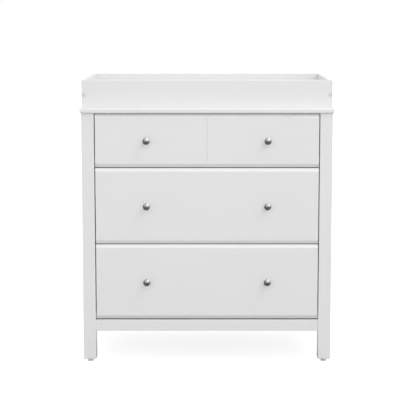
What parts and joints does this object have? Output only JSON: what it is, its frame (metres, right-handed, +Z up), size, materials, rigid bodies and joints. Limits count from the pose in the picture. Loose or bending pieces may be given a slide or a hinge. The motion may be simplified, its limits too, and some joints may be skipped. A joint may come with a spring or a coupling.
{
  "type": "changing dresser",
  "caption": "White chest of wide drawers on square legs, with round metal knobs and an open bolted-on tray on top that holds a changing pad.",
  "frame": {"origin": "on the floor, under the middle of the whole object's box (knobs and rear brackets included)", "axes": "+X to the right seen from the front, +Y to the rear, +Z up; drawers open towards -Y"},
  "size_m": [0.886, 0.516, 1.002],
  "materials": {
    "white_lacquer": "smooth satin white lacquer on wood board",
    "inner_board": "white foil on chipboard",
    "hardboard": "thin hardboard, white face",
    "brushed_nickel": "satin nickel",
    "zinc_plate": "bright zinc",
    "coated_steel": "white powder coat",
    "nylon": "moulded nylon",
    "glide_plastic": "moulded plastic",
    "beech": "raw fluted dowel"
  },
  "bodies": {
    "cabinet": {"leg_front_left": "white_lacquer", "leg_front_right": "white_lacquer", "leg_rear_left": "white_lacquer", "leg_rear_right": "white_lacquer", "side_panel_left": "white_lacquer", "side_panel_right": "white_lacquer", "back_panel": "hardboard", "bottom_rail_front": "white_lacquer", "bottom_rail_rear": "inner_board", "top_rail_front": "inner_board", "top_rail_rear": "inner_board", "top_panel": "white_lacquer", "topper_front": "white_lacquer", "topper_rear": "white_lacquer", "topper_side_left": "white_lacquer", "topper_side_right": "white_lacquer", "foot_glides": "glide_plastic", "topper_bolts": "coated_steel", "frame_dowels": "beech", "topper_brackets": "zinc_plate", "anti_tip_bracket": "zinc_plate", "top_cabinet_runners": "coated_steel", "middle_cabinet_runners": "coated_steel", "bottom_cabinet_runners": "coated_steel"},
    "top_drawer": {"top_drawer_front": "white_lacquer", "top_drawer_side_left": "inner_board", "top_drawer_side_right": "inner_board", "top_drawer_back": "inner_board", "top_drawer_bottom": "hardboard", "top_knob_left": "brushed_nickel", "top_knob_right": "brushed_nickel", "top_knob_bolts": "zinc_plate", "top_cam_locks": "zinc_plate", "top_drawer_runners": "coated_steel"},
    "top_front_rollers": {"top_front_rollers": "nylon"},
    "top_rear_rollers": {"top_rear_rollers": "nylon"},
    "middle_drawer": {"middle_drawer_front": "white_lacquer", "middle_drawer_side_left": "inner_board", "middle_drawer_side_right": "inner_board", "middle_drawer_back": "inner_board", "middle_drawer_bottom": "hardboard", "middle_knob_left": "brushed_nickel", "middle_knob_right": "brushed_nickel", "middle_knob_bolts": "zinc_plate", "middle_cam_locks": "zinc_plate", "middle_drawer_runners": "coated_steel"},
    "middle_front_rollers": {"middle_front_rollers": "nylon"},
    "middle_rear_rollers": {"middle_rear_rollers": "nylon"},
    "bottom_drawer": {"bottom_drawer_front": "white_lacquer", "bottom_drawer_side_left": "inner_board", "bottom_drawer_side_right": "inner_board", "bottom_drawer_back": "inner_board", "bottom_drawer_bottom": "hardboard", "bottom_knob_left": "brushed_nickel", "bottom_knob_right": "brushed_nickel", "bottom_knob_bolts": "zinc_plate", "bottom_cam_locks": "zinc_plate", "bottom_drawer_runners": "coated_steel"},
    "bottom_front_rollers": {"bottom_front_rollers": "nylon"},
    "bottom_rear_rollers": {"bottom_rear_rollers": "nylon"}
  },
  "joints": [
    {"name": "top_drawer_slide", "type": "slide", "parent": "cabinet", "child": "top_drawer", "axis": [0, -1, 0], "range_m": [0, 0.33]},
    {"name": "top_front_rollers_turn", "type": "hinge", "parent": "cabinet", "child": "top_front_rollers", "pos_m": [0, -0.204, 0.728], "axis": [1, 0, 0], "continuous": true},
    {"name": "top_rear_rollers_turn", "type": "hinge", "parent": "top_drawer", "child": "top_rear_rollers", "pos_m": [0, 0.224, 0.7244], "axis": [1, 0, 0], "continuous": true},
    {"name": "middle_drawer_slide", "type": "slide", "parent": "cabinet", "child": "middle_drawer", "axis": [0, -1, 0], "range_m": [0, 0.33]},
    {"name": "middle_front_rollers_turn", "type": "hinge", "parent": "cabinet", "child": "middle_front_rollers", "pos_m": [0, -0.204, 0.457], "axis": [1, 0, 0], "continuous": true},
    {"name": "middle_rear_rollers_turn", "type": "hinge", "parent": "middle_drawer", "child": "middle_rear_rollers", "pos_m": [0, 0.224, 0.4534], "axis": [1, 0, 0], "continuous": true},
    {"name": "bottom_drawer_slide", "type": "slide", "parent": "cabinet", "child": "bottom_drawer", "axis": [0, -1, 0], "range_m": [0, 0.33]},
    {"name": "bottom_front_rollers_turn", "type": "hinge", "parent": "cabinet", "child": "bottom_front_rollers", "pos_m": [0, -0.204, 0.1875], "axis": [1, 0, 0], "continuous": true},
    {"name": "bottom_rear_rollers_turn", "type": "hinge", "parent": "bottom_drawer", "child": "bottom_rear_rollers", "pos_m": [0, 0.224, 0.1839], "axis": [1, 0, 0], "continuous": true}
  ],
  "couplings": [
    {"joint": "top_front_rollers_turn", "follows": "top_drawer_slide", "rad_per_m": 111.11},
    {"joint": "top_rear_rollers_turn", "follows": "top_drawer_slide", "rad_per_m": 111.11},
    {"joint": "middle_front_rollers_turn", "follows": "middle_drawer_slide", "rad_per_m": 111.11},
    {"joint": "middle_rear_rollers_turn", "follows": "middle_drawer_slide", "rad_per_m": 111.11},
    {"joint": "bottom_front_rollers_turn", "follows": "bottom_drawer_slide", "rad_per_m": 111.11},
    {"joint": "bottom_rear_rollers_turn", "follows": "bottom_drawer_slide", "rad_per_m": 111.11}
  ]
}
